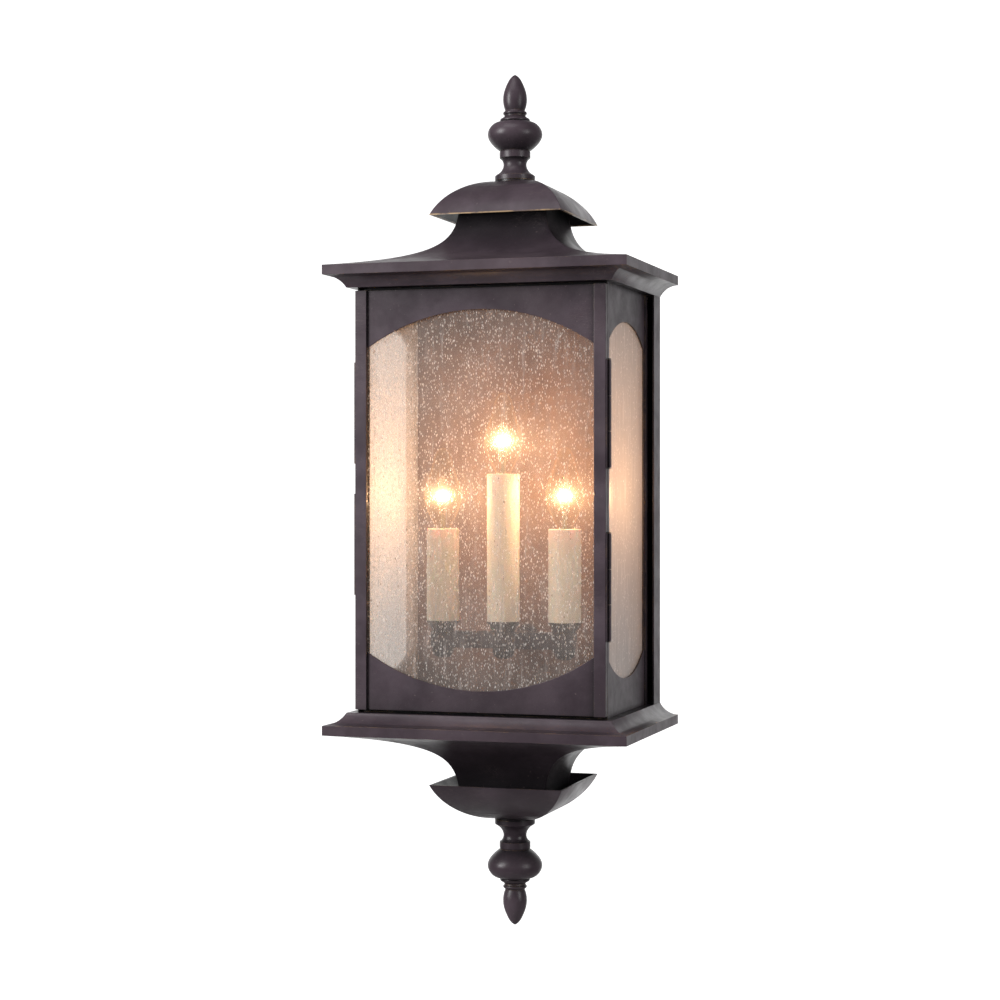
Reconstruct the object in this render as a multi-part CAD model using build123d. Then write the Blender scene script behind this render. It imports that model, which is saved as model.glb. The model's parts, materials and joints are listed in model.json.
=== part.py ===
from build123d import *
from math import exp
import os

# Outdoor wall lantern: a tall glazed cabin under a flared roof, with a mirrored base below,
# a hinged glazed door in front and three candle lamps inside.
# Frame: X to the right as a person faces the lantern, Y into the wall, Z up.
# The wall is the plane Y = 0, and Z = 0 is the middle of the cabin.

os.makedirs("parts", exist_ok=True)

# ---- roof and base -------------------------------------------------------------------------
slab_half_width = 120.0     # widest part of the roof and of the base
slab_depth = 168.0          # from the wall to the slab's front edge
slab_z = 180.0              # top of the roof slab, and minus the bottom of the base slab
fascia_height = 7.5         # flat vertical edge of a slab
axis_y = -56.0              # axis of the neck, hood and finial
neck_half = 34.0            # half width that the flared roof tends to
neck_top = 233.0
flare_length = 11.25        # height over which the flare falls by a factor of e
casting_wall = 2.0
cove_lip = 0.6              # how far the cove starts behind the fascia
cove_hollow = 2.3           # sagitta of the cove's curve
cove_half_width = 105.2
cove_front = 154.7
cove_z = 163.2              # underside of the cove, where the cabin begins

# ---- hood and finial -------------------------------------------------------------------------
hood_half = 53.8
hood_top_half = 14.0
hood_edge_z = 222.5
hood_top_z = 252.4
hood_bulge = 6.6            # sagitta of the hood's curved side
hood_wall = 1.6
rod_radius = 3.0
rod_hole_radius = 3.1
rod_low_z = 152.0
rod_high_z = 276.0
rod_socket_depth = 24.0
finial_foot = 1.6           # thickness of the disc under the finial's flange

# ---- cabin -----------------------------------------------------------------------------------
cabin_half_width = 99.5
door_front = -150.5
sheet = 1.5
seam_y = -145.0             # joint between the door's return and the cabin's front post
door_half_height = 161.0
door_stile = 9.1
front_recess = 2.0          # door panel set back behind the stiles
glass_thickness = 3.0
glass_gap = 0.3
front_glass_half = (96.0, 153.0)         # half width, half height
side_glass_half_height = 148.0
glass_clip_sheet = 0.8
glass_clip_half_width = 5.5
glass_clip_lap = 6.5        # how far a clip reaches over the glass's edge
glass_clip_foot = 4.0       # from the glass's edge to the clip's outer end
side_clip_y = (-118.0, -56.0)
front_clip_x = (-60.0, 0.0, 60.0)
front_window = (90.4, 116.5, 144.5)      # half width, spring height, crown height
side_window = (55.5, 119.0, 137.0)
side_centre_y = -83.0
post_sheet = 0.9            # thinner sheet of the corner posts
post_front_width = 5.4
post_rear_width = 6.3
rear_y = -20.0              # rear of the cabin
tab_depth = 14.0            # screw tabs on the posts
tab_width = 11.0
tab_screw_inset = 9.0       # from the cabin's rear to the rear tabs' screws
stop_y = -139.6             # door stop flange on the front posts
flange_width = 8.0
stop_rail_height = 14.0     # door stop rails above and below the door, which keep the light in
stop_rail_foot = 8.0

# ---- wall pan and mounting strap ---------------------------------------------------------------
pan_half_width = 105.2
pan_depth = 18.0            # from the wall to the pan's raised centre
pan_lip_depth = 21.0        # from the wall to the front of the side lips
pan_channel = 9.0           # width of the deep channel inside each lip
pan_rim = 12.0
strap_half_length = 78.0
strap_half_height = 11.0
strap_thickness = 2.5
box_screw_spacings = (88.9, 69.85)
box_screw_radius = 2.4
nipple_hole_radius = 5.2
stud_x = 66.0
stud_radius = 2.0
stud_hole_radius = 2.3

# ---- door hinges and catches -------------------------------------------------------------------
hinge_x = 101.0
hinge_y = -145.0
hinge_half_length = 40.0
hinge_z = (64.5, -64.5)
knuckle_radius = 1.5
knuckle_bore = 0.85
pin_radius = 0.8
knuckle_gap = 0.4
leaf_thickness = 0.7
catch_z = (67.0, -34.0)
catch_half_length = 39.0

# ---- lamps -------------------------------------------------------------------------------------
lamp_y = -87.0
lamps = {"left": (-50.0, -22.5), "centre": (0.0, 20.5), "right": (50.0, -22.5)}
sleeve_radius = 12.8
sleeve_wall = 1.6
sleeve_low_z = -95.5
bar_top_z = -103.0
bar_bottom_z = -116.0
bar_half_length = 58.0
bar_half_depth = 6.0
bar_wall = 1.0
bar_mid_z = (bar_top_z + bar_bottom_z) / 2
nipple_radius = 4.8
nipple_bore = 3.6
socket_radius = 9.0
bulb_base_radius = 5.9
bulb_radius = 15.0
bulb_height = 64.0
wire_radius = 0.8
wire_pitch = 1.9
connector_x = 14.0
connector_y = -8.6
connector_z = -72.0


def save(name, shape):
    """Write one sub-part."""
    shape.label = name
    export_step(shape, f"parts/{name}.step")


def block(x, y, z):
    """Box given by its low and high values on each axis."""
    size = Box(x[1] - x[0], y[1] - y[0], z[1] - z[0])
    return Pos((x[0] + x[1]) / 2, (y[0] + y[1]) / 2, (z[0] + z[1]) / 2) * size


def rod(x, y, z, radius):
    """Upright cylinder between two heights."""
    return Pos(x, y, (z[0] + z[1]) / 2) * Cylinder(radius, z[1] - z[0])


def rod_along_y(x, y, z, radius):
    """Cylinder along Y between two depths."""
    return Pos(x, (y[0] + y[1]) / 2, z) * Rot(90, 0, 0) * Cylinder(radius, y[1] - y[0])


def turned(x, y, profile):
    """Solid of revolution about an upright axis, from an outline of radius and height."""
    return Pos(x, y, 0) * revolve(Plane.XZ * make_face(profile), Axis.Z)


def mitred(front_outline, side_outline):
    """Solid that fills one outline seen from the front and another seen from the side."""
    across = extrude(Plane.XZ * front_outline, amount=300, both=True)
    along = extrude(Plane.YZ * side_outline, amount=300, both=True)
    return across & along


def both_sides(shape):
    """A shape on the right and its mirror image on the left."""
    return shape, mirror(shape, about=Plane.YZ)


def upside_down(shape):
    """Mirror image below the middle of the cabin."""
    return mirror(shape, about=Plane.XY)


def group(shapes):
    """Several separate solids in one node."""
    return Compound(children=list(shapes))


# ---- roof --------------------------------------------------------------------------------------
def flare(reach, z):
    """Distance of the roof's face from the lantern's axis at a height."""
    return neck_half + (reach - neck_half) * exp(-(z - slab_z) / flare_length)


def roof_outline(centre, low_reach, high_reach, wall, foot):
    """Outline of the roof, drawn in by the wall's thickness for its inside."""
    rise = [(step / 8) ** 1.6 for step in range(9)]
    heights = [slab_z + (neck_top - slab_z) * part for part in rise]
    low = [(centre - flare(low_reach, z) + wall, z - wall) for z in heights]
    high = [(centre + flare(high_reach, z) - wall, z - wall) for z in reversed(heights)]
    edges = Spline(*low) + Line(low[-1], high[0]) + Spline(*high)
    edges += Polyline(high[-1], (high[-1][0], foot), (low[0][0], foot), low[0])
    return make_face(edges)


def roof_solid(wall, foot):
    """The whole roof, or its inside."""
    across = roof_outline(0, slab_half_width, slab_half_width, wall, foot)
    deep = roof_outline(axis_y, slab_depth + axis_y, -axis_y, wall, foot)
    return mitred(across, deep)


def make_roof():
    foot = slab_z - fascia_height
    shell = roof_solid(0, foot) - roof_solid(casting_wall, foot - 1)
    return shell - rod(0, axis_y, (neck_top - 9, neck_top + 9), rod_hole_radius)


# ---- cove under the roof -----------------------------------------------------------------------
def cove_outline(low, high, low_foot, high_foot, wall):
    """Section of the cove, with a shallow hollow curve on each side that has one."""
    top = slab_z - fascia_height
    foot = cove_z + wall
    edges = Line((low_foot, foot), (high_foot, foot))
    if high > high_foot:
        edges += SagittaArc((high_foot, foot), (high, top), cove_hollow)
    else:
        edges += Line((high_foot, foot), (high, top))
    edges += Line((high, top), (low, top))
    edges += SagittaArc((low, top), (low_foot, foot), cove_hollow)
    return make_face(edges)


def cove_solid(wall):
    """The whole cove, or its inside."""
    side = slab_half_width - cove_lip - wall
    side_foot = cove_half_width - wall
    front = -(slab_depth - cove_lip - wall)
    front_foot = -(cove_front - wall)
    across = cove_outline(-side, side, -side_foot, side_foot, wall)
    deep = cove_outline(front, -wall, front_foot, -wall, wall)
    return mitred(across, deep)


def frame_screw_places():
    """Where the screws go up through the cabin's corner tabs."""
    x = cabin_half_width - sheet - 6
    return [(side * x, y) for side in (-1, 1) for y in (stop_y + 8, rear_y - tab_screw_inset)]


def make_cove():
    shell = cove_solid(0) - cove_solid(sheet)
    shell -= rod(0, axis_y, (cove_z - 5, cove_z + 5), rod_hole_radius)
    for x, y in frame_screw_places():
        shell -= rod(x, y, (cove_z - 5, cove_z + 5), 1.6)
    return shell


# ---- hood ----------------------------------------------------------------------------------------
def hood_outline(centre, wall):
    """Section of the hood: two bulging sides and a flat top."""
    edge = hood_half - wall
    top = hood_top_z - wall
    low, high = centre - edge, centre + edge
    foot = hood_edge_z - (1 if wall else 0)
    rise = SagittaArc((low, foot), (centre - hood_top_half, top), hood_bulge)
    fall = SagittaArc((centre + hood_top_half, top), (high, foot), hood_bulge)
    flat = Line(rise @ 1, fall @ 0)
    return make_face(rise + flat + fall + Line(fall @ 1, rise @ 0))


def make_hood():
    outside = mitred(hood_outline(0, 0), hood_outline(axis_y, 0))
    inside = mitred(hood_outline(0, hood_wall), hood_outline(axis_y, hood_wall))
    hole = rod(0, axis_y, (hood_top_z - 9, hood_top_z + 9), rod_hole_radius)
    return outside - inside - hole


def make_hood_spacer():
    tube = rod(0, axis_y, (neck_top, hood_top_z - hood_wall), 9)
    return tube - rod(0, axis_y, (neck_top - 1, hood_top_z), rod_hole_radius)


# ---- finial --------------------------------------------------------------------------------------
def make_finial():
    """Foot, flange, waist, ring, squat ball, two beads and an acorn, from the bottom up."""
    foot = hood_top_z
    z = foot + finial_foot
    flange = Polyline((0, foot), (15, foot), (15, z), (16, z), (16, z + 3.6), (14.4, z + 4.8))
    waist = Spline((14.4, z + 4.8), (10.9, z + 7.8), (9.2, z + 13), (10.8, z + 16.8))
    ring = Polyline((10.8, z + 16.8), (12.3, z + 18), (12.3, z + 22.6), (11.9, z + 23.6))
    ball = Spline((11.9, z + 23.6), (17.6, z + 28.4), (21.8, z + 36.8), (19.4, z + 42.9), (11.2, z + 46.6))
    large_bead = ThreePointArc((11.2, z + 46.6), (11.9, z + 48.2), (10.4, z + 49.6))
    throat = Polyline((10.4, z + 49.6), (8.4, z + 51.2), (8.6, z + 52.4))
    small_bead = ThreePointArc((8.6, z + 52.4), (9.5, z + 53.7), (8.4, z + 55))
    step = Line((8.4, z + 55), (7.8, z + 56))
    acorn = Spline((7.8, z + 56), (9.3, z + 61.2), (9.5, z + 66.4), (8.4, z + 72), (6.3, z + 77.2),
                   (3.4, z + 82), (0, z + 84.5))
    axis = Line((0, z + 84.5), (0, foot))
    profile = flange + waist + ring + ball + large_bead + throat + small_bead + step + acorn + axis
    return turned(0, axis_y, profile) - rod(0, axis_y, (foot - 1, z + rod_socket_depth), rod_hole_radius)


def hex_nut(x, y, z, across, height, bore):
    """Hexagon nut standing on a height, with a plain bore."""
    outline = RegularPolygon(across / 2, 6, major_radius=False) - Circle(bore)
    return Pos(x, y, z) * extrude(outline, amount=height)


def make_rod_nuts():
    inside_cabin = hex_nut(0, axis_y, cove_z - 6.7, 10, 5, rod_hole_radius)
    on_neck = hex_nut(0, axis_y, neck_top - casting_wall - 5, 10, 5, rod_hole_radius)
    return [inside_cabin, on_neck]


def make_rod_washer():
    disc = rod(0, axis_y, (cove_z - 1.7, cove_z), 9)
    return disc - rod(0, axis_y, (cove_z - 3, cove_z + 1), rod_hole_radius)


# ---- cabin ---------------------------------------------------------------------------------------
def window_outline(half_width, spring, crown):
    """Window with straight jambs, an arched head and an arched sill."""
    head = ThreePointArc((-half_width, spring), (0, crown), (half_width, spring))
    sill = ThreePointArc((half_width, -spring), (0, -crown), (-half_width, -spring))
    jambs = Line(head @ 1, sill @ 0) + Line(sill @ 1, head @ 0)
    return make_face(head + sill + jambs)


def make_front_post():
    """Right-hand post: a strip in the cabin's side, a door stop flange and two screw tabs."""
    x = cabin_half_width
    inner = x - post_sheet
    strip = block((inner, x), (seam_y + 0.4, seam_y + post_front_width), (-cove_z, cove_z))
    stop = block((x - flange_width, inner), (stop_y - sheet, stop_y), (-cove_z, cove_z))
    post = strip + stop
    for z in ((-cove_z, -cove_z + sheet), (cove_z - sheet, cove_z)):
        post += block((inner - tab_width, inner), (stop_y, stop_y + tab_depth), z)
    return post


def make_rear_post():
    """Right-hand rear post: a strip in the cabin's side, a rear flange and two screw tabs."""
    x = cabin_half_width
    inner = x - post_sheet
    strip = block((inner, x), (rear_y - post_rear_width, rear_y), (-cove_z, cove_z))
    flange = block((x - 14, x), (rear_y - sheet, rear_y), (-cove_z, cove_z))
    post = strip + flange
    for z in ((-cove_z, -cove_z + sheet), (cove_z - sheet, cove_z)):
        post += block((inner - tab_width, inner), (rear_y - tab_depth, rear_y - 2 * sheet), z)
    return post


def drill_frame_screws(post):
    for x, y in frame_screw_places():
        post -= rod(x, y, (-cove_z - 1, cove_z + 1), 1.6)
    return post


def make_side_panel():
    """Right-hand panel with its arched window, set back behind the posts."""
    x = cabin_half_width - post_sheet
    tab_room = tab_depth + 0.2
    plate = block((x - sheet, x), (stop_y + 0.1, rear_y - 2 * sheet), (-cove_z, cove_z))
    for z in ((-cove_z, -cove_z + sheet), (cove_z - sheet, cove_z)):
        plate -= block((x - sheet - 1, x + 1), (stop_y, stop_y + tab_room), z)
        plate -= block((x - sheet - 1, x + 1), (rear_y - tab_room, rear_y), z)
    opening = Plane.YZ * Pos(side_centre_y, 0) * window_outline(*side_window)
    return plate - extrude(opening, amount=200)


def make_side_glass():
    x = cabin_half_width - post_sheet - sheet - glass_gap
    z = side_glass_half_height
    return block((x - glass_thickness, x), (stop_y + 1, rear_y - 4), (-z, z))


def make_side_clips():
    """Clips above and below the right-hand glass."""
    x = cabin_half_width - post_sheet - sheet
    inner = x - glass_thickness - 2 * glass_gap
    z = side_glass_half_height
    top = z + glass_clip_foot
    clips = []
    for y in side_clip_y:
        width = (y - glass_clip_half_width, y + glass_clip_half_width)
        foot = block((inner - glass_clip_sheet, x), width, (z + glass_gap, top))
        arm = block((inner - glass_clip_sheet, inner), width, (z - glass_clip_lap, top))
        clips += [foot + arm, upside_down(foot + arm)]
    return clips


def make_stop_rail():
    """Angle strip under the ceiling tray, between the front posts, that the door shuts against."""
    x = cabin_half_width - flange_width
    rail = block((-x, x), (stop_y - sheet, stop_y), (cove_z - stop_rail_height, cove_z))
    x = cabin_half_width - post_sheet - tab_width
    return rail + block((-x, x), (stop_y, stop_y + stop_rail_foot), (cove_z - sheet, cove_z))


def make_rear_panel():
    """Inner back of the cabin, with holes for the studs and the lamp arm."""
    x = cabin_half_width - sheet
    y = rear_y - sheet
    plate = block((-x + 0.1, x - 0.1), (y - sheet, y), (-cove_z, cove_z))
    for side in (-1, 1):
        plate -= rod_along_y(side * stud_x, (y - 9, y + 9), 0, stud_hole_radius)
    return plate - rod_along_y(0, (y - 9, y + 9), bar_mid_z, nipple_radius + 0.1)


def make_gasket():
    """Black foam ring between the cabin and the wall pan."""
    outer = block((-93, 93), (rear_y, -pan_depth), (-162, 162))
    inner = block((-82, 82), (rear_y - 1, -pan_depth + 1), (-150, 150))
    return outer - inner


# ---- wall pan and strap --------------------------------------------------------------------------
def make_wall_pan():
    """Pan with a raised centre, a deep channel and a lip on each side, and a rim on the wall."""
    x, z = pan_half_width, cove_z
    lip = x - sheet
    wall = lip - pan_channel
    centre = wall - sheet
    shell = block((-x, x), (-pan_lip_depth, 0), (-z, z))
    shell -= block((-lip, lip), (-pan_lip_depth - 1, -pan_depth), (-z - 1, z + 1))
    for low, high in ((-lip, -wall), (wall, lip)):
        shell -= block((low, high), (-pan_depth - 1, -sheet), (-z + sheet, z - sheet))
    shell -= block((-centre, centre), (-pan_depth + sheet, -sheet), (-z + sheet, z - sheet))
    shell -= block((-x + pan_rim, x - pan_rim), (-2 * sheet, 1), (-z + pan_rim, z - pan_rim))
    for side in (-1, 1):
        shell -= rod_along_y(side * stud_x, (-pan_depth - 1, -pan_depth + 3), 0, stud_hole_radius)
    return shell - rod_along_y(0, (-pan_depth - 1, -pan_depth + 3), bar_mid_z, nipple_radius + 0.1)


def make_strap():
    """Mounting strap for a junction box, with two pairs of screw holes and a centre hole."""
    bar = block((-strap_half_length, strap_half_length), (-strap_thickness, 0),
                (-strap_half_height, strap_half_height))
    depth = (-strap_thickness - 1, 1)
    for side in (-1, 1):
        for spacing in box_screw_spacings:
            bar -= rod_along_y(side * spacing / 2, depth, 0, box_screw_radius)
        bar -= rod_along_y(side * stud_x, depth, 0, stud_hole_radius)
    bar -= rod_along_y(-18, depth, 6, stud_hole_radius)
    return bar - rod_along_y(0, depth, 0, nipple_hole_radius)


def nut_along_y(x, y, z, across, height, bore):
    """Hexagon nut whose low face is at y and which grows towards the front."""
    outline = RegularPolygon(across / 2, 6, major_radius=False) - Circle(bore)
    return Pos(x, y, z) * Rot(90, 0, 0) * extrude(outline, amount=height)


def make_studs():
    return [rod_along_y(side * stud_x, (rear_y - 12, 0), 0, stud_radius) for side in (-1, 1)]


def make_stud_nuts():
    return [nut_along_y(side * stud_x, -strap_thickness, 0, 8, 3.2, stud_radius + 0.1)
            for side in (-1, 1)]


def make_cap_nuts():
    """Domed nuts that draw the cabin to the wall, inside the cabin."""
    y = rear_y - 2 * sheet
    nuts = []
    for side in (-1, 1):
        body = nut_along_y(side * stud_x, y, 0, 9, 6, stud_radius + 0.1)
        dome = Pos(side * stud_x, y - 6, 0) * Sphere(4.2)
        dome &= block((-99, 99), (y - 12, y - 6), (-9, 9))
        dome -= rod_along_y(side * stud_x, (y - 9.2, y), 0, stud_radius + 0.1)
        nuts.append(body + dome)
    return nuts


def make_ground_screw():
    head = rod_along_y(-18, (-strap_thickness - 2.4, -strap_thickness), 6, 4)
    slot = block((-22.5, -13.5), (-strap_thickness - 2.5, -strap_thickness - 1.4), (5.4, 6.6))
    shank = rod_along_y(-18, (-strap_thickness, 0), 6, stud_radius)
    return head - slot + shank


# ---- door ----------------------------------------------------------------------------------------
def make_door_frame():
    """Two stiles with side returns, joined by top and bottom flanges behind the panel."""
    x, z = cabin_half_width, door_half_height
    frame = []
    for side in (-1, 1):
        stile = block((x - door_stile, x), (door_front, door_front + front_recess), (-z, z))
        back = block((x - sheet, x), (door_front, seam_y), (-z, z))
        frame.append(stile + back if side > 0 else mirror(stile + back, about=Plane.YZ))
    panel_back = door_front + front_recess + sheet
    top = block((-x + sheet, x - sheet), (panel_back, seam_y), (z - sheet, z))
    frame[0] = frame[0] + frame[1] + top + upside_down(top)
    return frame[0]


def make_door_panel():
    """Sheet with the arched window, between the stiles and behind them."""
    x, z = cabin_half_width - sheet, door_half_height
    y = door_front + front_recess
    plate = block((-x, x), (y, y + sheet), (-z, z))
    opening = Plane.XZ.offset(100) * window_outline(*front_window)
    return plate - extrude(opening, amount=100)


def make_front_glass():
    y = door_front + front_recess + sheet + glass_gap
    x, z = front_glass_half
    return block((-x, x), (y, y + glass_thickness), (-z, z))


def make_door_clips():
    """Folded clips that hold the front glass to the door panel."""
    y = door_front + front_recess + sheet
    inner = y + glass_thickness + 2 * glass_gap
    z = front_glass_half[1]
    top = z + glass_clip_foot
    clips = []
    for x in front_clip_x:
        width = (x - glass_clip_half_width, x + glass_clip_half_width)
        foot = block(width, (y, inner + glass_clip_sheet), (z + glass_gap, top))
        arm = block(width, (inner, inner + glass_clip_sheet), (z - glass_clip_lap, top))
        clips += [foot + arm, upside_down(foot + arm)]
    return clips


# ---- hinges and catches --------------------------------------------------------------------------
def knuckle(z_low, z_high):
    tube = rod(hinge_x, hinge_y, (z_low, z_high), knuckle_radius)
    return tube - rod(hinge_x, hinge_y, (z_low - 1, z_high + 1), knuckle_bore)


def make_cabin_leaf(z):
    """Hinge leaf on the front post, with the two outer knuckles."""
    x = cabin_half_width
    third = 2 * hinge_half_length / 3
    leaf = block((x, x + leaf_thickness), (hinge_y + 2, seam_y + post_front_width),
                 (z - hinge_half_length, z + hinge_half_length))
    for low in (z - hinge_half_length, z + hinge_half_length - third):
        tab = block((x, x + leaf_thickness), (hinge_y + 0.5, hinge_y + 2), (low, low + third))
        tab -= rod(hinge_x, hinge_y, (low - 1, low + third + 1), knuckle_bore)
        leaf += tab + knuckle(low, low + third)
    return leaf


def make_door_leaf(z):
    """Hinge leaf on the door's return, with the middle knuckle."""
    x = cabin_half_width
    half = hinge_half_length / 3 - knuckle_gap
    leaf = block((x, x + leaf_thickness), (hinge_y - 5, hinge_y - 2),
                 (z - hinge_half_length, z + hinge_half_length))
    tab = block((x, x + leaf_thickness), (hinge_y - 2, hinge_y - 0.5), (z - half, z + half))
    tab -= rod(hinge_x, hinge_y, (z - half - 1, z + half + 1), knuckle_bore)
    return leaf + tab + knuckle(z - half, z + half)


def make_hinge_pin(z):
    """Pin with a round head on each end."""
    length = hinge_half_length
    pin = rod(hinge_x, hinge_y, (z - length - 0.8, z + length + 0.8), pin_radius)
    for end in (-1, 1):
        face = z + end * (length + 0.1)
        head = sorted((face, face + end * 0.9))
        pin += rod(hinge_x, hinge_y, head, 1.3)
    return pin


def make_catch(z):
    """Spring catch on the left front post that laps over the door's return."""
    x = -cabin_half_width
    ends = (z - catch_half_length, z + catch_half_length)
    foot = block((x - 1.2, x), (seam_y + 0.5, seam_y + post_front_width - 0.3), ends)
    arm = block((x - 1.2, x - 0.35), (door_front + 1.2, seam_y + 0.5), ends)
    return foot + arm


# ---- lamps ---------------------------------------------------------------------------------------
def make_lamp_bar():
    """Square tube that carries the three candles."""
    y = lamp_y
    bar = block((-bar_half_length, bar_half_length), (y - bar_half_depth, y + bar_half_depth),
                (bar_bottom_z, bar_top_z))
    inner = bar_half_depth - bar_wall
    bar -= block((-bar_half_length + bar_wall, bar_half_length - bar_wall),
                 (y - inner, y + inner), (bar_bottom_z + bar_wall, bar_top_z - bar_wall))
    for x, top in lamps.values():
        bar -= rod(x, y, (bar_bottom_z - 1, bar_top_z + 1), nipple_radius)
    return bar - rod_along_y(0, (y, y + 9), bar_mid_z, nipple_bore)


def make_lamp_arm():
    """Hollow arm from the cabin's back to the bar, with a flange on the inner back."""
    start = rear_y - 2 * sheet
    end = lamp_y + bar_half_depth
    tube = rod_along_y(0, (end, -pan_depth + 2.5), bar_mid_z, nipple_radius)
    tube += rod_along_y(0, (start - 2, start), bar_mid_z, 9)
    tube += rod_along_y(0, (end, end + 4), bar_mid_z, 6)
    return tube - rod_along_y(0, (end - 1, -pan_depth + 3), bar_mid_z, nipple_bore)


def make_arm_nut():
    return nut_along_y(0, -pan_depth + sheet + 3, bar_mid_z, 14, 3, nipple_radius + 0.1)


def make_cup(x):
    """Shallow dish on the bar that the candle sleeve stands in."""
    low, high = bar_top_z, sleeve_low_z
    edges = Polyline((nipple_radius + 0.1, low), (8.5, low), (9.2, low + 1.4))
    edges += ThreePointArc((9.2, low + 1.4), (11.2, low + 4.6), (13.6, high + 0.6))
    edges += Polyline((13.6, high + 0.6), (13.0, high + 0.6), (13.0, high), (nipple_radius + 0.1, high),
                      (nipple_radius + 0.1, low))
    return turned(x, lamp_y, edges)


def make_cup_nut(x):
    """Round nut under the bar that clamps the candle's nipple."""
    low, high = bar_bottom_z - 8, bar_bottom_z
    edges = Polyline((0, low), (4, low))
    edges += ThreePointArc((4, low), (7.4, low + 2.6), (8.4, high - 1.2))
    edges += Polyline((8.4, high - 1.2), (8.4, high), (0, high), (0, low))
    nut = turned(x, lamp_y, edges)
    return nut - rod(x, lamp_y, (high - 5, high + 1), nipple_radius)


def make_nipple(x, top):
    """Hollow threaded tube from the nut, through the bar, with a side slot for the leads."""
    tube = rod(x, lamp_y, (bar_bottom_z - 5, top - 52), nipple_radius - 0.1)
    tube -= rod(x, lamp_y, (bar_bottom_z - 6, top), nipple_bore)
    slot_z = (bar_mid_z - 4, bar_mid_z + 4)
    if x == 0:
        return tube - block((-9, 9), (lamp_y - 2.8, lamp_y + 9), slot_z)
    towards_centre = sorted((x, x * 0.8))
    return tube - block(towards_centre, (lamp_y - 2.8, lamp_y + 2.8), slot_z)


def make_sleeve(x, top):
    """Ivory candle sleeve, with softened rims."""
    tube = rod(x, lamp_y, (sleeve_low_z, top), sleeve_radius)
    tube = fillet(tube.edges().group_by(Axis.Z)[-1], 0.8)
    return tube - rod(x, lamp_y, (sleeve_low_z - 1, top + 1), sleeve_radius - sleeve_wall)


def make_socket(x, top):
    """Lamp socket inside the sleeve, open at the top for the bulb's screw base."""
    body = rod(x, lamp_y, (top - 34, top - 3), socket_radius)
    body += rod(x, lamp_y, (top - 52, top - 34), nipple_radius + 1.6)
    body -= rod(x, lamp_y, (top - 20, top), bulb_base_radius + 0.4)
    return body - rod(x, lamp_y, (top - 53, top - 40), nipple_bore)


def make_bulb_base(x, top):
    """Screw base and contact of a bulb."""
    base = rod(x, lamp_y, (top - 17, top - 1.5), bulb_base_radius)
    base += rod(x, lamp_y, (top - 19.5, top - 17), 2.6)
    return base - rod(x, lamp_y, (top - 12, top), bulb_base_radius - 0.5)


def bulb_outline(x, top, wall):
    """Outline of a torpedo bulb's glass, drawn in for its inside."""
    z = top - 1.5
    tip = z + bulb_height + 1.5
    points = [(bulb_base_radius - wall, z), (7.4 - wall, z + 5), (bulb_radius - wall, z + 26),
              (8.6 - wall, z + 51), (0, tip - wall)]
    side = Spline(*points, tangents=[(0, 1), (-1, 0.25)])
    return turned(x, lamp_y, side + Polyline(points[-1], (0, z), points[0]))


def make_bulb_glass(x, top):
    hollow = bulb_outline(x, top, 0.8)
    return bulb_outline(x, top, 0) - hollow


def make_filament(x, top):
    """Glass stem, two support wires and the coil across their ends."""
    stem = rod(x, lamp_y, (top - 1, top + 12), 1.8)
    coil_z = top + 26
    wires = []
    for side in (-1, 1):
        foot = Vector(x + side * 1.0, lamp_y, top + 11)
        head = Vector(x + side * 5.5, lamp_y, coil_z)
        wires.append(thin_wire(foot, head, 0.35))
    coil = Pos(x, lamp_y, coil_z) * Rot(0, 90, 0) * Cylinder(0.7, 11.6)
    return stem + wires[0] + wires[1] + coil


def thin_wire(start, end, radius):
    """Straight wire between two points."""
    run = Line(start, end)
    return sweep(Plane(origin=start, z_dir=end - start) * Circle(radius), path=run)


# ---- wiring --------------------------------------------------------------------------------------
def lead(points, radii):
    """Insulated wire along straight runs with round bends."""
    path = FilletPolyline(*points, radius=radii)
    start = Plane(origin=path @ 0, z_dir=path % 0)
    return sweep(start * Circle(wire_radius), path=path)


def make_leads(side):
    """Three leads of one colour, from each lamp to the connector in the wall pan."""
    leads = []
    for index, name in enumerate(("centre", "left", "right")):
        x, top = lamps[name]
        level = bar_mid_z + (1 - index) * wire_pitch
        column = side * wire_pitch / 2
        y = lamp_y
        if x:
            y += 1 if side * x > 0 else -1
        points = [(x + column, y, top - 41), (x + column, y, level)]
        if x:
            points.append((column, y, level))
        turn_y = connector_y + (index - 1) * 2.6
        end_x = side * connector_x
        points += [(column, turn_y, level), (end_x, turn_y, -84 + index), (end_x, turn_y, -66)]
        leads.append(lead(points, [1.8] * (len(points) - 2)))
    return leads


def make_connector(side):
    """Twist-on wire connector over the ends of three leads."""
    low = connector_z
    high = low + 22
    outline = Polyline((0, low + 9), (3.7, low + 9), (3.7, low), (5.8, low), (5.0, high - 3),
                       (3.4, high), (0, high), (0, low + 9))
    return turned(side * connector_x, connector_y, outline)


def make_frame_screws():
    """Eight pan-head screws that hold the cabin's corners to the roof and to the base."""
    screws = []
    for x, y in frame_screw_places():
        head = rod(x, y, (cove_z - sheet - 2, cove_z - sheet), 3)
        shank = rod(x, y, (cove_z - sheet, cove_z + 6), 1.5)
        screws += [head + shank, upside_down(head + shank)]
    return screws


# ---- write every sub-part ------------------------------------------------------------------------
roof = make_roof()
cove = make_cove()
hood = make_hood()
spacer = make_hood_spacer()
finial = make_finial()
threaded_rod = rod(0, axis_y, (rod_low_z, rod_high_z), rod_radius)
nuts = make_rod_nuts()
washer = make_rod_washer()

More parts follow.
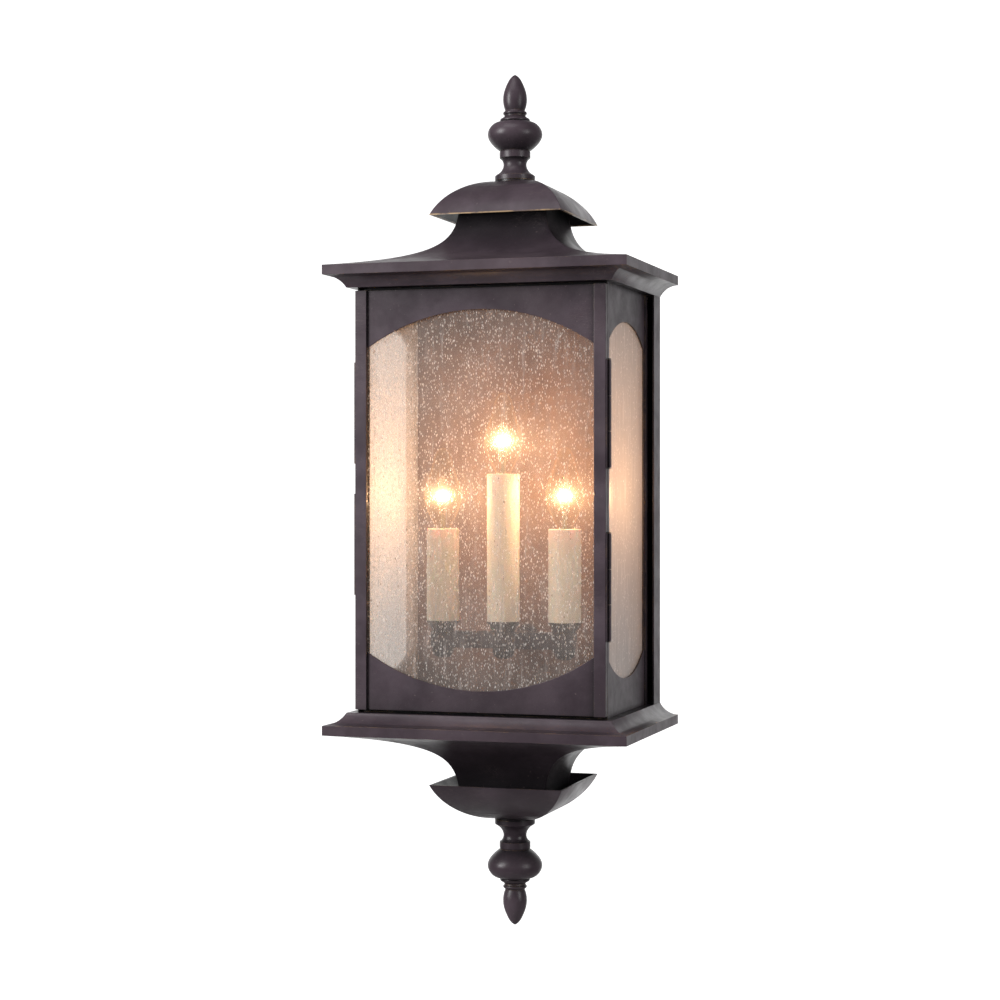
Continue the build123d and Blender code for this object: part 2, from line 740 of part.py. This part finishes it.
for name, shape in {"roof": roof, "roof_cove": cove, "hood": hood, "hood_spacer": spacer,
                    "top_finial": finial, "top_rod": threaded_rod}.items():
    save(name, shape)
for name, shape in {"base": roof, "base_cove": cove, "bowl": hood, "bowl_spacer": spacer,
                    "bottom_finial": finial, "bottom_rod": threaded_rod}.items():
    save(name, upside_down(shape))
save("rod_nuts", group(nuts + [upside_down(nut) for nut in nuts]))
save("rod_washers", group([washer, upside_down(washer)]))

for name, shape in {"front_post": drill_frame_screws(make_front_post()),
                    "rear_post": drill_frame_screws(make_rear_post()),
                    "side_panel": make_side_panel(), "side_glass": make_side_glass()}.items():
    right, left = both_sides(shape)
    save(f"{name}_right", right)
    save(f"{name}_left", left)
right_clips = make_side_clips()
save("side_glass_clips", group(right_clips + [mirror(clip, about=Plane.YZ) for clip in right_clips]))
stop_rail = make_stop_rail()
save("door_stop_rails", group([stop_rail, upside_down(stop_rail)]))
save("rear_panel", make_rear_panel())
save("wall_gasket", make_gasket())
save("frame_screws", group(make_frame_screws()))

save("wall_pan", make_wall_pan())
save("mounting_strap", make_strap())
save("mounting_studs", group(make_studs()))
save("stud_nuts", group(make_stud_nuts()))
save("cap_nuts", group(make_cap_nuts()))
save("ground_screw", make_ground_screw())

save("door_frame", make_door_frame())
save("door_panel", make_door_panel())
save("front_glass", make_front_glass())
save("door_glass_clips", group(make_door_clips()))
save("hinge_leaves_cabin", group(make_cabin_leaf(z) for z in hinge_z))
save("hinge_leaves_door", group(make_door_leaf(z) for z in hinge_z))
save("hinge_pins", group(make_hinge_pin(z) for z in hinge_z))
save("door_catches", group(make_catch(z) for z in catch_z))

save("lamp_bar", make_lamp_bar())
save("lamp_arm", make_lamp_arm())
save("lamp_arm_nut", make_arm_nut())
for name, (x, top) in lamps.items():
    save(f"candle_sleeve_{name}", make_sleeve(x, top))
    save(f"bulb_glass_{name}", make_bulb_glass(x, top))
save("candle_cups", group(make_cup(x) for x, top in lamps.values()))
save("lamp_sockets", group(make_socket(x, top) for x, top in lamps.values()))
save("bulb_bases", group(make_bulb_base(x, top) for x, top in lamps.values()))
save("bulb_filaments", group(make_filament(x, top) for x, top in lamps.values()))
save("cup_nuts", group(make_cup_nut(x) for x, top in lamps.values()))
save("lamp_nipples", group(make_nipple(x, top) for x, top in lamps.values()))
save("leads_black", group(make_leads(-1)))
save("leads_white", group(make_leads(1)))
save("wire_connectors", group(make_connector(side) for side in (-1, 1)))
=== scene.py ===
import json
import math

import bpy
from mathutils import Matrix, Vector


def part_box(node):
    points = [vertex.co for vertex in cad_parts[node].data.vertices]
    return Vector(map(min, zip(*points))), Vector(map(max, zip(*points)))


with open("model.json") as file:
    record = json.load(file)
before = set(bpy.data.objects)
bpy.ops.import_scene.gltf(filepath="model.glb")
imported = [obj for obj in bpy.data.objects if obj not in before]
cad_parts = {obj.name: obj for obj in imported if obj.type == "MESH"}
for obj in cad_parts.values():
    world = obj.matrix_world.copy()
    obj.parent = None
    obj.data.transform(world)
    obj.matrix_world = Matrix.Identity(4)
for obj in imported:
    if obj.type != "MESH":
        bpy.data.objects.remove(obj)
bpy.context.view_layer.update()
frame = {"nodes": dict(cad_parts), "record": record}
nodes = frame["nodes"]
MM = 0.001


def rgb(red, green, blue):
    return (red, green, blue, 1.0)


# ---- shader building ---------------------------------------------------------------------------
class Shader:
    """A material's node tree, with a short call for each kind of node."""

    def __init__(self, name):
        self.material = bpy.data.materials.new(name)
        self.material.use_nodes = True
        self.tree = self.material.node_tree
        self.tree.nodes.clear()
        self.output = self.tree.nodes.new("ShaderNodeOutputMaterial")
        self.place = self.tree.nodes.new("ShaderNodeTexCoord").outputs["Object"]

    def link(self, value, socket):
        """Joins an output to a socket, or sets the socket to a plain value."""
        if isinstance(value, bpy.types.NodeSocket):
            self.tree.links.new(value, socket)
        else:
            socket.default_value = value

    def node(self, kind, **settings):
        made = self.tree.nodes.new(kind)
        for key, value in settings.items():
            setattr(made, key, value)
        return made

    def math(self, operation, first, second=0.0):
        """One sum. What is added together stops at 1, as shares of a mix do."""
        made = self.node("ShaderNodeMath", operation=operation, use_clamp=operation == "ADD")
        self.link(first, made.inputs[0])
        self.link(second, made.inputs[1])
        return made.outputs[0]

    def times_plus(self, first, factor, extra):
        """A value times a plain factor, plus an extra, with no stop at 1."""
        made = self.node("ShaderNodeMath", operation="MULTIPLY_ADD")
        self.link(first, made.inputs[0])
        self.link(factor, made.inputs[1])
        self.link(extra, made.inputs[2])
        return made.outputs[0]

    def off(self, value, centre):
        """How far a value is from a centre, to either side."""
        return self.math("ABSOLUTE", self.math("SUBTRACT", value, centre))

    def along(self, axis):
        """The object's own coordinate along X (0), Y (1) or Z (2), in metres."""
        made = self.node("ShaderNodeSeparateXYZ")
        self.link(self.place, made.inputs[0])
        return made.outputs[axis]

    def scaled(self, factors):
        """The object's coordinates, stretched by a factor on each axis."""
        made = self.node("ShaderNodeMapping")
        self.link(self.place, made.inputs["Vector"])
        made.inputs["Scale"].default_value = factors
        return made.outputs[0]

    def noise(self, scale, detail=4.0, roughness=0.55, distortion=0.0, at=None):
        made = self.node("ShaderNodeTexNoise")
        self.link(at or self.place, made.inputs["Vector"])
        made.inputs["Scale"].default_value = scale
        made.inputs["Detail"].default_value = detail
        made.inputs["Roughness"].default_value = roughness
        made.inputs["Distortion"].default_value = distortion
        return made.outputs["Fac"]

    def ramp(self, value, low, high, out_low=0.0, out_high=1.0):
        """A smooth step from out_low at low to out_high at high."""
        made = self.node("ShaderNodeMapRange", interpolation_type="SMOOTHSTEP")
        self.link(value, made.inputs["Value"])
        made.inputs["From Min"].default_value = low
        made.inputs["From Max"].default_value = high
        made.inputs["To Min"].default_value = out_low
        made.inputs["To Max"].default_value = out_high
        return made.outputs[0]

    def mix(self, share, first, second):
        """The first colour, with a share of the second."""
        made = self.node("ShaderNodeMix", data_type="RGBA")
        self.link(share, made.inputs[0])
        self.link(first, made.inputs[6])
        self.link(second, made.inputs[7])
        return made.outputs[2]

    def bump(self, height, distance, strength):
        made = self.node("ShaderNodeBump")
        made.inputs["Strength"].default_value = strength
        made.inputs["Distance"].default_value = distance
        self.link(height, made.inputs["Height"])
        return made.outputs[0]

    def slant(self):
        """0 where the surface is seen face on, 1 where it is seen edge on."""
        made = self.node("ShaderNodeLayerWeight")
        made.inputs["Blend"].default_value = 0.5
        return made.outputs["Facing"]

    def principled(self, **inputs):
        """A Principled surface, with socket names written with underscores."""
        made = self.node("ShaderNodeBsdfPrincipled")
        for key, value in inputs.items():
            self.link(value, made.inputs[key.replace("_", " ")])
        return made.outputs[0]

    def see_through(self, tint):
        made = self.node("ShaderNodeBsdfTransparent")
        self.link(tint, made.inputs[0])
        return made.outputs[0]

    def blend(self, share, first, second):
        """The first surface, with a share of the second."""
        made = self.node("ShaderNodeMixShader")
        self.link(share, made.inputs[0])
        self.link(first, made.inputs[1])
        self.link(second, made.inputs[2])
        return made.outputs[0]

    def finish(self, surface):
        self.link(surface, self.output.inputs["Surface"])
        return self.material


# ---- bronze ------------------------------------------------------------------------------------
def painted_recess_shade(s, share):
    """Share of painted shade: near black laid where nearby surfaces close in, where shadow falls."""
    recess = s.node("ShaderNodeAmbientOcclusion", samples=4)
    recess.inputs["Distance"].default_value = 60.0 * MM
    return s.ramp(recess.outputs["AO"], 0.48, 0.97, share, 0.0)


def scratches(s):
    """Share of hairline scratches, here and there, and of rubbed specks."""
    streak = s.noise(34.0, 6.0, 0.7, 1.8, at=s.scaled((1.0, 1.0, 6.0)))
    hairline = s.ramp(s.off(streak, 0.5), 0.0, 0.012, 0.55, 0.0)
    sparse = s.ramp(s.noise(14.0, 2.0), 0.53, 0.66)
    speck = s.ramp(s.noise(420.0, 2.0, 0.5), 0.70, 0.76, 0.0, 0.35)
    return s.math("ADD", s.math("MULTIPLY", hairline, sparse), speck)


def rubbed_edges(s):
    """Share of wear: broken stretches where the surface turns a sharp outer corner."""
    rounded = s.node("ShaderNodeBevel", samples=6)
    rounded.inputs["Radius"].default_value = 0.6 * MM
    turn = s.node("ShaderNodeVectorMath", operation="DOT_PRODUCT")
    s.link(rounded.outputs[0], turn.inputs[0])
    s.link(s.node("ShaderNodeNewGeometry").outputs["Normal"], turn.inputs[1])
    corner = s.ramp(turn.outputs["Value"], 0.97, 0.84)
    broken = s.ramp(s.noise(55.0, 4.0, 0.7), 0.46, 0.62, 0.0, 0.60)
    return s.math("MULTIPLY", corner, broken)


def rubbed_rim(s, rim_z):
    """Share of gold on a level edge, thinner in places."""
    line = s.ramp(s.off(s.along(2), rim_z), 0.6 * MM, 1.3 * MM, 1.0, 0.0)
    return s.math("MULTIPLY", line, s.ramp(s.noise(70.0, 4.0, 0.7), 0.42, 0.56, 0.15, 1.0))


def bronze_material(name, dark=(0.054, 0.038, 0.048), light=(0.090, 0.066, 0.081),
                    worn=(0.112, 0.083, 0.094), rim_z=None, gloss=0.30, rough=0.30, painted_shade_share=0.95):
    """Oil-rubbed bronze: dark purple-brown satin, darkened by painted shade in its hollows, mottled, finely
    scratched, and copper at the edges. An edge at a given height is rubbed to gold."""
    s = Shader(name)
    mottle = s.noise(26.0, 5.0, 0.6)
    patch = s.noise(9.0, 3.0, 0.5, 0.4)
    grain = s.noise(1400.0, 3.0, 0.6)
    colour = s.mix(s.ramp(mottle, 0.35, 0.68), rgb(*dark), rgb(*light))
    colour = s.mix(s.ramp(patch, 0.45, 0.75, 0.0, 0.45), colour, rgb(*worn))
    # Painted shade: near black mixed in where occlusion finds nearby surfaces, as under the hood, the roof
    # slab and the base.
    colour = s.mix(painted_recess_shade(s, painted_shade_share), colour, rgb(0.008, 0.008, 0.009))
    colour = s.mix(scratches(s), colour, rgb(0.19, 0.15, 0.145))
    wear = rubbed_edges(s)
    colour = s.mix(wear, colour, rgb(0.42, 0.27, 0.14))
    if rim_z is not None:
        colour = s.mix(rubbed_rim(s, rim_z), colour, rgb(0.40, 0.27, 0.15))
    roughness = s.ramp(s.noise(60.0, 4.0, 0.65), 0.3, 0.7, rough, rough + 0.12)
    height = s.math("ADD", s.math("MULTIPLY", grain, 0.5), s.math("MULTIPLY", mottle, 0.5))
    surface = s.principled(Base_Color=colour, Roughness=roughness, Metallic=s.math("MULTIPLY", wear, 0.8),
                           Normal=s.bump(height, 0.05 * MM, 0.35), Specular_IOR_Level=gloss)
    return s.finish(surface)


# ---- other metals and plastics -----------------------------------------------------------------
def steel_material(name, dark, light, rough):
    """Plated steel hardware with fine grain and dulled patches."""
    s = Shader(name)
    grain = s.noise(500.0, 4.0, 0.6)
    patch = s.noise(60.0, 3.0)
    colour = s.mix(s.ramp(patch, 0.35, 0.7), rgb(*dark), rgb(*light))
    roughness = s.ramp(grain, 0.3, 0.7, rough, rough + 0.15)
    surface = s.principled(Base_Color=colour, Roughness=roughness, Metallic=1.0,
                           Normal=s.bump(grain, 0.02 * MM, 0.4))
    return s.finish(surface)


def brass_material():
    """Bright brass of the lamps' screw bases."""
    s = Shader("lamp_brass")
    grain = s.noise(300.0, 4.0)
    colour = s.mix(s.ramp(grain, 0.35, 0.7), rgb(0.30, 0.21, 0.10), rgb(0.46, 0.35, 0.18))
    surface = s.principled(Base_Color=colour, Roughness=s.ramp(grain, 0.3, 0.7, 0.2, 0.35), Metallic=1.0)
    return s.finish(surface)


def moulded_material(name, dark, light, rough, grain_depth=0.02 * MM):
    """Moulded plastic, foam or wire insulation."""
    s = Shader(name)
    grain = s.noise(700.0, 4.0, 0.6)
    patch = s.noise(45.0, 3.0)
    colour = s.mix(s.ramp(patch, 0.35, 0.7), rgb(*dark), rgb(*light))
    surface = s.principled(Base_Color=colour, Roughness=s.ramp(grain, 0.3, 0.7, rough, rough + 0.12),
                           Normal=s.bump(grain, grain_depth, 0.5))
    return s.finish(surface)


def ivory_material():
    """Candle sleeve: matt ivory that light goes into a little, with faint darker streaks down it."""
    s = Shader("candle_ivory")
    cloud = s.noise(40.0, 4.0, 0.55)
    streak = s.noise(60.0, 3.0, 0.5, at=s.scaled((1.0, 1.0, 0.15)))
    colour = s.mix(s.ramp(cloud, 0.3, 0.7), rgb(0.86, 0.76, 0.62), rgb(0.93, 0.85, 0.72))
    colour = s.mix(s.ramp(streak, 0.4, 0.8, 0.0, 0.16), colour, rgb(0.78, 0.64, 0.47))
    normal = s.bump(s.noise(220.0, 3.0), 0.08 * MM, 0.5)
    surface = s.principled(Base_Color=colour, Roughness=0.5, Normal=normal, Subsurface_Weight=0.25,
                           Subsurface_Scale=0.004)
    return s.finish(surface)


# ---- glass and lamps ---------------------------------------------------------------------------
def bubbles(s, scale, stretch, share, size):
    """Specks where drawn-out bubbles cut the surface: a share of the cells holds one each."""
    cells = s.node("ShaderNodeTexVoronoi", feature="F1")
    s.link(s.scaled((1.0, 1.0, stretch)), cells.inputs["Vector"])
    cells.inputs["Scale"].default_value = scale
    luck = s.node("ShaderNodeSeparateColor")
    s.link(cells.outputs["Color"], luck.inputs[0])
    chosen = s.ramp(luck.outputs[0], 1.0 - share, 1.0 - share + 0.02)
    reach = s.ramp(luck.outputs[1], 0.0, 1.0, 0.45 * size, size)
    near = s.math("SUBTRACT", 1.0, s.math("DIVIDE", cells.outputs["Distance"], reach))
    return s.math("MULTIPLY", chosen, s.ramp(near, 0.0, 0.5))


def pane_material():
    """Seeded glass: see-through, with drawn bubbles and cords that scatter light both ways."""
    s = Shader("seeded_pane")
    fine = bubbles(s, scale=920.0, stretch=0.34, share=0.66, size=0.37)
    coarse = bubbles(s, scale=480.0, stretch=0.36, share=0.26, size=0.24)
    # Painted refraction: dark brown specks that stand for bubbles showing darker surroundings through the
    # glass.
    dark = bubbles(s, scale=420.0, stretch=0.45, share=0.10, size=0.30)
    seeds = s.math("ADD", fine, coarse)
    cords = s.noise(480.0, 3.0, 0.6, at=s.scaled((1.0, 1.0, 0.07)))
    cords = s.ramp(cords, 0.52, 0.72)
    cloud = s.ramp(s.noise(24.0, 3.0), 0.3, 0.7, 0.085, 0.12)
    slant = s.math("POWER", s.slant(), 2.0)
    veil = s.math("ADD", cloud, s.math("MULTIPLY", cords, 0.17))
    veil = s.math("ADD", veil, s.math("MULTIPLY", slant, 0.74))
    veil = s.math("ADD", veil, s.math("MULTIPLY", seeds, 0.78))

    clear = s.see_through(s.mix(dark, rgb(0.90, 0.885, 0.87), rgb(0.42, 0.32, 0.24)))
    colour = s.mix(seeds, rgb(0.92, 0.85, 0.82), rgb(0.97, 0.93, 0.89))
    height = s.math("ADD", seeds, s.math("MULTIPLY", cords, 0.3))
    milk = s.principled(Base_Color=colour, Roughness=0.55, Normal=s.bump(height, 0.25 * MM, 0.5),
                        Transmission_Weight=0.20)
    through = s.node("ShaderNodeBsdfTranslucent")
    through.inputs[0].default_value = rgb(0.93, 0.89, 0.86)
    milky = s.blend(0.2, milk, through.outputs[0])
    return s.finish(s.blend(veil, clear, milky))


def bulb_glass_material(name, hot_z):
    """Clear lamp glass with a faint painted glint glowing along its rim, and the filament's glare in it
    around a height.
    """
    s = Shader(name)
    facing = s.math("SUBTRACT", 1.0, s.slant())
    across = s.math("SUBTRACT", 1.0, s.math("MULTIPLY", facing, facing))
    rise = s.math("DIVIDE", s.math("SUBTRACT", s.along(2), hot_z), 13.0 * MM)
    spread = s.math("ADD", s.math("MULTIPLY", across, 1.1), s.math("MULTIPLY", rise, rise))
    core = s.math("POWER", 0.0005, spread)
    halo = s.math("MULTIPLY", s.math("POWER", 0.10, spread), 0.32)
    # Painted glint: the glass glows where it is seen edge on, standing for the filament's light caught in
    # its rim.
    painted_rim_glint = s.math("MULTIPLY", s.math("POWER", across, 9.0), 0.16)
    glare = s.node("ShaderNodeEmission")
    s.link(s.mix(core, rgb(1.0, 0.56, 0.24), rgb(1.0, 0.92, 0.78)), glare.inputs[0])
    s.link(s.math("ADD", s.times_plus(core, 1.6, halo), painted_rim_glint), glare.inputs[1])

    haze = s.ramp(s.noise(90.0, 3.0), 0.35, 0.7, 0.03, 0.08)
    film = s.principled(Base_Color=rgb(0.004, 0.0035, 0.003), Roughness=0.12)
    glass = s.blend(haze, s.see_through(rgb(0.99, 0.97, 0.94)), film)
    lit = s.node("ShaderNodeAddShader")
    s.link(glass, lit.inputs[0])
    s.link(glare.outputs[0], lit.inputs[1])
    return s.finish(lit.outputs[0])


def filament_material(hot_heights):
    """Tungsten that glows around the given heights, on dull wires and a glass stem."""
    s = Shader("filament_glow")
    colour = s.mix(s.noise(400.0, 2.0), rgb(1.0, 0.62, 0.26), rgb(1.0, 0.78, 0.46))
    height = s.along(2)
    low, high = [s.off(height, hot) for hot in hot_heights]
    glow = s.ramp(s.math("MINIMUM", low, high), 1.5 * MM, 4.0 * MM, 90.0, 0.3)
    surface = s.principled(Base_Color=rgb(0.16, 0.13, 0.10), Roughness=0.4, Emission_Color=colour,
                           Emission_Strength=glow)
    return s.finish(surface)


# ---- dressing the pieces -----------------------------------------------------------------------
def dress(piece, material):
    """Gives a piece one material in all of its slots."""
    piece.data.materials.clear()
    piece.data.materials.append(material)


def soften(piece, width):
    """Rounds a CAD node's sharp edges a little, as a casting's or a folded sheet's are."""
    weld = piece.modifiers.new("weld", "WELD")
    weld.merge_threshold = 0.002 * MM
    bevel = piece.modifiers.new("bevel", "BEVEL")
    bevel.width = width
    bevel.segments = 2
    bevel.limit_method = "ANGLE"
    bevel.angle_limit = math.radians(40)
    bevel.harden_normals = False


glare_height = 27.5 * MM        # above the foot of a lamp's glass
glare_places = {}
for side in ("left", "centre", "right"):
    low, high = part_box(f"bulb_glass_{side}")
    glare_places[side] = Vector(((low.x + high.x) / 2, (low.y + high.y) / 2, low.z + glare_height))

slot_materials = {
    "bronze": bronze_material("bronze"),
    "zinc_steel": steel_material("zinc_steel", (0.42, 0.41, 0.39), (0.66, 0.65, 0.62), 0.3),
    "hinge_pin": steel_material("hinge_pin", (0.12, 0.10, 0.09), (0.30, 0.26, 0.23), 0.35),
    "green_screw": moulded_material("green_screw", (0.02, 0.16, 0.05), (0.05, 0.28, 0.10), 0.35),
    "seeded_glass": pane_material(),
    "bulb_brass": brass_material(),
    "filament": filament_material([glare_places["left"].z, glare_places["centre"].z]),
    "candle_ivory": ivory_material(),
    "phenolic": moulded_material("phenolic", (0.018, 0.016, 0.014), (0.04, 0.035, 0.03), 0.45),
    # The foam's near black also stands for the shade of the gap between the cabin and the wall pan: partly
    # painted shade.
    "foam": moulded_material("foam", (0.008, 0.008, 0.008), (0.018, 0.018, 0.018), 0.85, 0.15 * MM),
    "black_wire": moulded_material("black_wire", (0.012, 0.012, 0.012), (0.03, 0.03, 0.03), 0.4),
    "white_wire": moulded_material("white_wire", (0.70, 0.69, 0.66), (0.84, 0.83, 0.80), 0.4),
    "connector": moulded_material("connector", (0.62, 0.20, 0.03), (0.80, 0.32, 0.06), 0.4),
}
own_materials = {
    # Painted lamplight: the rear panel is bronze, coloured lighter and warmer than the outside bronze to
    # stand for the lamps' light falling on it.
    "rear_panel": bronze_material("bronze_inner_back_painted_lamplight", (0.160, 0.084, 0.058), (0.225, 0.124, 0.085),
                                  (0.255, 0.148, 0.106), gloss=0.65, rough=0.46, painted_shade_share=0.55),
    "hood": bronze_material("bronze_hood", rim_z=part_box("hood")[0].z),
}
for side, place in glare_places.items():
    own_materials[f"bulb_glass_{side}"] = bulb_glass_material(f"bulb_glass_{side}", place.z)

slot_of = {row["node"]: row["material_slot"] for row in frame["record"]["subparts"]}
for name, piece in nodes.items():
    dress(piece, own_materials.get(name) or slot_materials[slot_of[name]])

# Castings have soft edges, folded sheets crisp ones.
for name in ("roof", "base", "roof_cove", "base_cove"):
    soften(nodes[name], 1.2 * MM)
for name in ("hood", "bowl", "door_frame", "door_panel", "side_panel_left", "side_panel_right", "wall_pan"):
    soften(nodes[name], 0.3 * MM)


# ---- camera, light and stage -------------------------------------------------------------------
def add_to_scene(name, data):
    added = bpy.data.objects.new(name, data)
    bpy.context.scene.collection.objects.link(added)
    return added


def make_camera():
    """The lantern seen from the right of its front, level with its middle."""
    data = bpy.data.cameras.new("camera")
    data.sensor_width = 36.0
    data.lens = 78.2
    camera = add_to_scene("camera", data)
    camera.location = (0.5118, -1.7090, 0.0045)
    camera.rotation_euler = (math.radians(89.85), 0.0, math.radians(17.60))
    bpy.context.scene.camera = camera


def make_softbox(name, place, size, power):
    """A white panel of light that faces the middle of the lantern."""
    data = bpy.data.lights.new(name, "AREA")
    data.shape = "RECTANGLE"
    data.size, data.size_y = size
    data.energy = power
    light = add_to_scene(name, data)
    light.location = place
    aim = Vector((0.0, -0.1, 0.0)) - Vector(place)
    light.rotation_euler = aim.to_track_quat("-Z", "Y").to_euler()


def make_lamp_light(name, place):
    """The light that a lamp's filament gives."""
    data = bpy.data.lights.new(name, "POINT")
    data.energy = 0.32
    data.color = (1.0, 0.60, 0.31)
    data.shadow_soft_size = 0.005
    light = add_to_scene(name, data)
    light.location = place
    light.visible_camera = False


def floor_material():
    s = Shader("pale_floor")
    tone = s.ramp(s.noise(3.0, 2.0), 0.3, 0.7)
    colour = s.mix(tone, rgb(0.74, 0.74, 0.74), rgb(0.80, 0.80, 0.80))
    return s.finish(s.principled(Base_Color=colour, Roughness=0.9))


def backdrop_material():
    """A white sheet lit from behind, dimmer to the right and far up and down."""
    s = Shader("bright_backdrop")
    tone = s.ramp(s.noise(3.0, 2.0), 0.3, 0.7)
    colour = s.mix(tone, rgb(0.90, 0.90, 0.90), rgb(0.93, 0.93, 0.93))
    glow = s.math("MULTIPLY", s.ramp(s.along(0), 0.3, 1.1, 1.0, 0.15),
                  s.ramp(s.math("ABSOLUTE", s.along(2)), 1.4, 2.0, 1.0, 0.15))
    return s.finish(s.principled(Base_Color=colour, Roughness=0.9, Emission_Color=rgb(1.0, 1.0, 1.0),
                                 Emission_Strength=glow))


def stage_sheet(name, corners, surface):
    mesh = bpy.data.meshes.new(name)
    mesh.from_pydata(corners, [], [(0, 1, 2, 3)])
    sheet = add_to_scene(name, mesh)
    dress(sheet, surface)


def make_stage():
    """A pale floor, well below the lantern, and a bright backdrop behind it."""
    width, near, far, low, high = 6.0, -5.0, 3.4, -2.6, 4.4
    stage_sheet("floor", [(-width, near, low), (width, near, low), (width, far, low), (-width, far, low)],
                floor_material())
    stage_sheet("backdrop", [(-width, far, low), (width, far, low), (width, far, high), (-width, far, high)],
                backdrop_material())


def make_world():
    world = bpy.data.worlds.new("studio")
    world.use_nodes = True
    ground = world.node_tree.nodes["Background"]
    ground.inputs[0].default_value = rgb(1.0, 0.99, 0.98)
    ground.inputs[1].default_value = 0.10
    bpy.context.scene.world = world
    bpy.context.scene.view_settings.view_transform = "Standard"


make_camera()
make_world()
make_stage()
make_softbox("top_softbox", (-0.3, -0.9, 1.8), (1.4, 1.0), 10.0)
make_softbox("right_softbox", (1.8, -0.85, 0.3), (0.5, 1.2), 14.0)
make_softbox("left_softbox", (-1.4, -1.4, 0.6), (0.7, 1.3), 44.0)
for side, place in glare_places.items():
    make_lamp_light(f"lamp_{side}", place)
